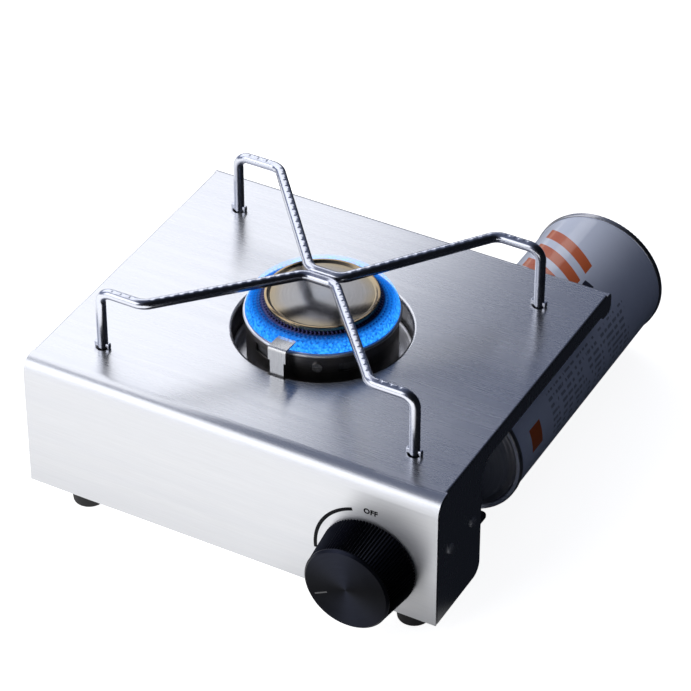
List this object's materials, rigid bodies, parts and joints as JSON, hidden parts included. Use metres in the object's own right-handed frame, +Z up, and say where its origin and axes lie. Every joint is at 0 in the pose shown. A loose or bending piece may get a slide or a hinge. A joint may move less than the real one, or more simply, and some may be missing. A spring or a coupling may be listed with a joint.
{
  "type": "butane cassette stove",
  "caption": "Compact brushed-steel cassette stove: round burner, cross-shaped wire pot support, front control knob and a butane canister lying in an open side bay.",
  "frame": {"origin": "centre of the footprint of the stove with its canister, on the surface under its feet", "axes": "+X to the right as seen from the knob's side, +Y to the rear along the canister, +Z up"},
  "size_m": [0.214, 0.2604, 0.111],
  "materials": {
    "stainless": "brushed along the width",
    "galvanised": "zinc-coated sheet, dull",
    "bowl_steel": "pressed stainless, lightly heat-tinted",
    "burner_steel": "heat-darkened stainless",
    "rim_steel": "pale heat-tinted stainless",
    "crown_steel": "perforated stainless, heat-tinted",
    "cap_steel": "straw heat tint, near mirror",
    "cast_alloy": "die-cast, matt",
    "brass": "turned",
    "copper_tube": "drawn tube",
    "screw_steel": "zinc-plated",
    "ceramic": "unglazed",
    "knob_plastic": "satin black",
    "pointer_paint": "pale inlay",
    "unit_plastic": "moulded",
    "lead_rubber": "silicone sleeve",
    "clip_plastic": "moulded",
    "rubber": "moulded",
    "magnet": "black oxide",
    "wire_chrome": "polished",
    "can_paint": "printed sheet steel",
    "can_steel": "bare tinplate",
    "spring_steel": "spring wire"
  },
  "bodies": {
    "stove_body": {"rubber_feet": "rubber", "top_cover": "stainless", "base_pan": "galvanised", "bay_divider": "galvanised", "bulkhead": "galvanised", "blind_rivets": "screw_steel", "foot_screws": "screw_steel", "foot_nuts": "screw_steel", "drip_bowl": "bowl_steel", "burner_skirt": "burner_steel", "burner_rim": "rim_steel", "flame_ring": "crown_steel", "burner_cap": "cap_steel", "burner_head": "cast_alloy", "burner_screws": "screw_steel", "mixing_tube": "cast_alloy", "jet_holder": "brass", "jet": "brass", "jet_bracket": "galvanised", "gas_tube": "copper_tube", "tube_nuts": "brass", "igniter_strap": "bowl_steel", "strap_rivet": "screw_steel", "electrode_ceramic": "ceramic", "electrode_pin": "spring_steel", "igniter_body": "unit_plastic", "igniter_bracket": "galvanised", "igniter_lead": "lead_rubber", "lead_clips": "clip_plastic", "return_spring": "spring_steel", "gland_nut": "brass", "spindle_seal": "rubber", "regulator_body": "cast_alloy", "diaphragm": "rubber", "diaphragm_cover": "cast_alloy", "pressure_spring": "spring_steel", "regulator_screws": "screw_steel", "coupling_body": "cast_alloy", "magnet_ring": "magnet", "guide_pin": "screw_steel", "inlet_seal": "rubber"},
    "push_collar": {"thrust_collar": "brass"},
    "knob": {"knob": "knob_plastic", "knob_pointer": "pointer_paint", "spindle": "brass", "igniter_cam": "unit_plastic", "valve_plug": "brass"},
    "igniter_plunger": {"igniter_plunger": "unit_plastic"},
    "canister": {"can_body": "can_paint", "can_dome": "can_steel", "can_base": "can_steel", "valve_collar": "can_steel", "valve_housing": "brass", "valve_spring": "spring_steel"},
    "can_stem": {"valve_stem": "brass"},
    "pot_support": {"support_wire_front": "wire_chrome", "support_wire_rear": "wire_chrome", "support_weld": "wire_chrome"}
  },
  "joints": [
    {"name": "knob_push", "type": "slide", "parent": "stove_body", "child": "push_collar", "axis": [0, 1, 0], "range_m": [0, 0.0012], "stiffness_N_per_m": 900, "deforming": ["return_spring"]},
    {"name": "knob_turn", "type": "hinge", "parent": "push_collar", "child": "knob", "pos_m": [0.073, -0.1077, 0.0316], "axis": [0, 1, 0], "range_deg": [0, 118]},
    {"name": "igniter_plunge", "type": "slide", "parent": "stove_body", "child": "igniter_plunger", "axis": [1, 0, 0], "range_m": [0, 0.004]},
    {"name": "canister_slide", "type": "slide", "parent": "stove_body", "child": "canister", "axis": [0, 1, 0], "range_m": [0, 0.2]},
    {"name": "can_stem_press", "type": "slide", "parent": "canister", "child": "can_stem", "axis": [0, 1, 0], "range_m": [0, 0.0015], "stiffness_N_per_m": 2000, "deforming": ["valve_spring"]},
    {"name": "pot_support_lift", "type": "slide", "parent": "stove_body", "child": "pot_support", "axis": [0, 0, 1], "range_m": [0, 0.06]}
  ],
  "couplings": [
    {"joint": "igniter_plunge", "follows": "knob_turn", "m_per_rad": 0.001942}
  ]
}
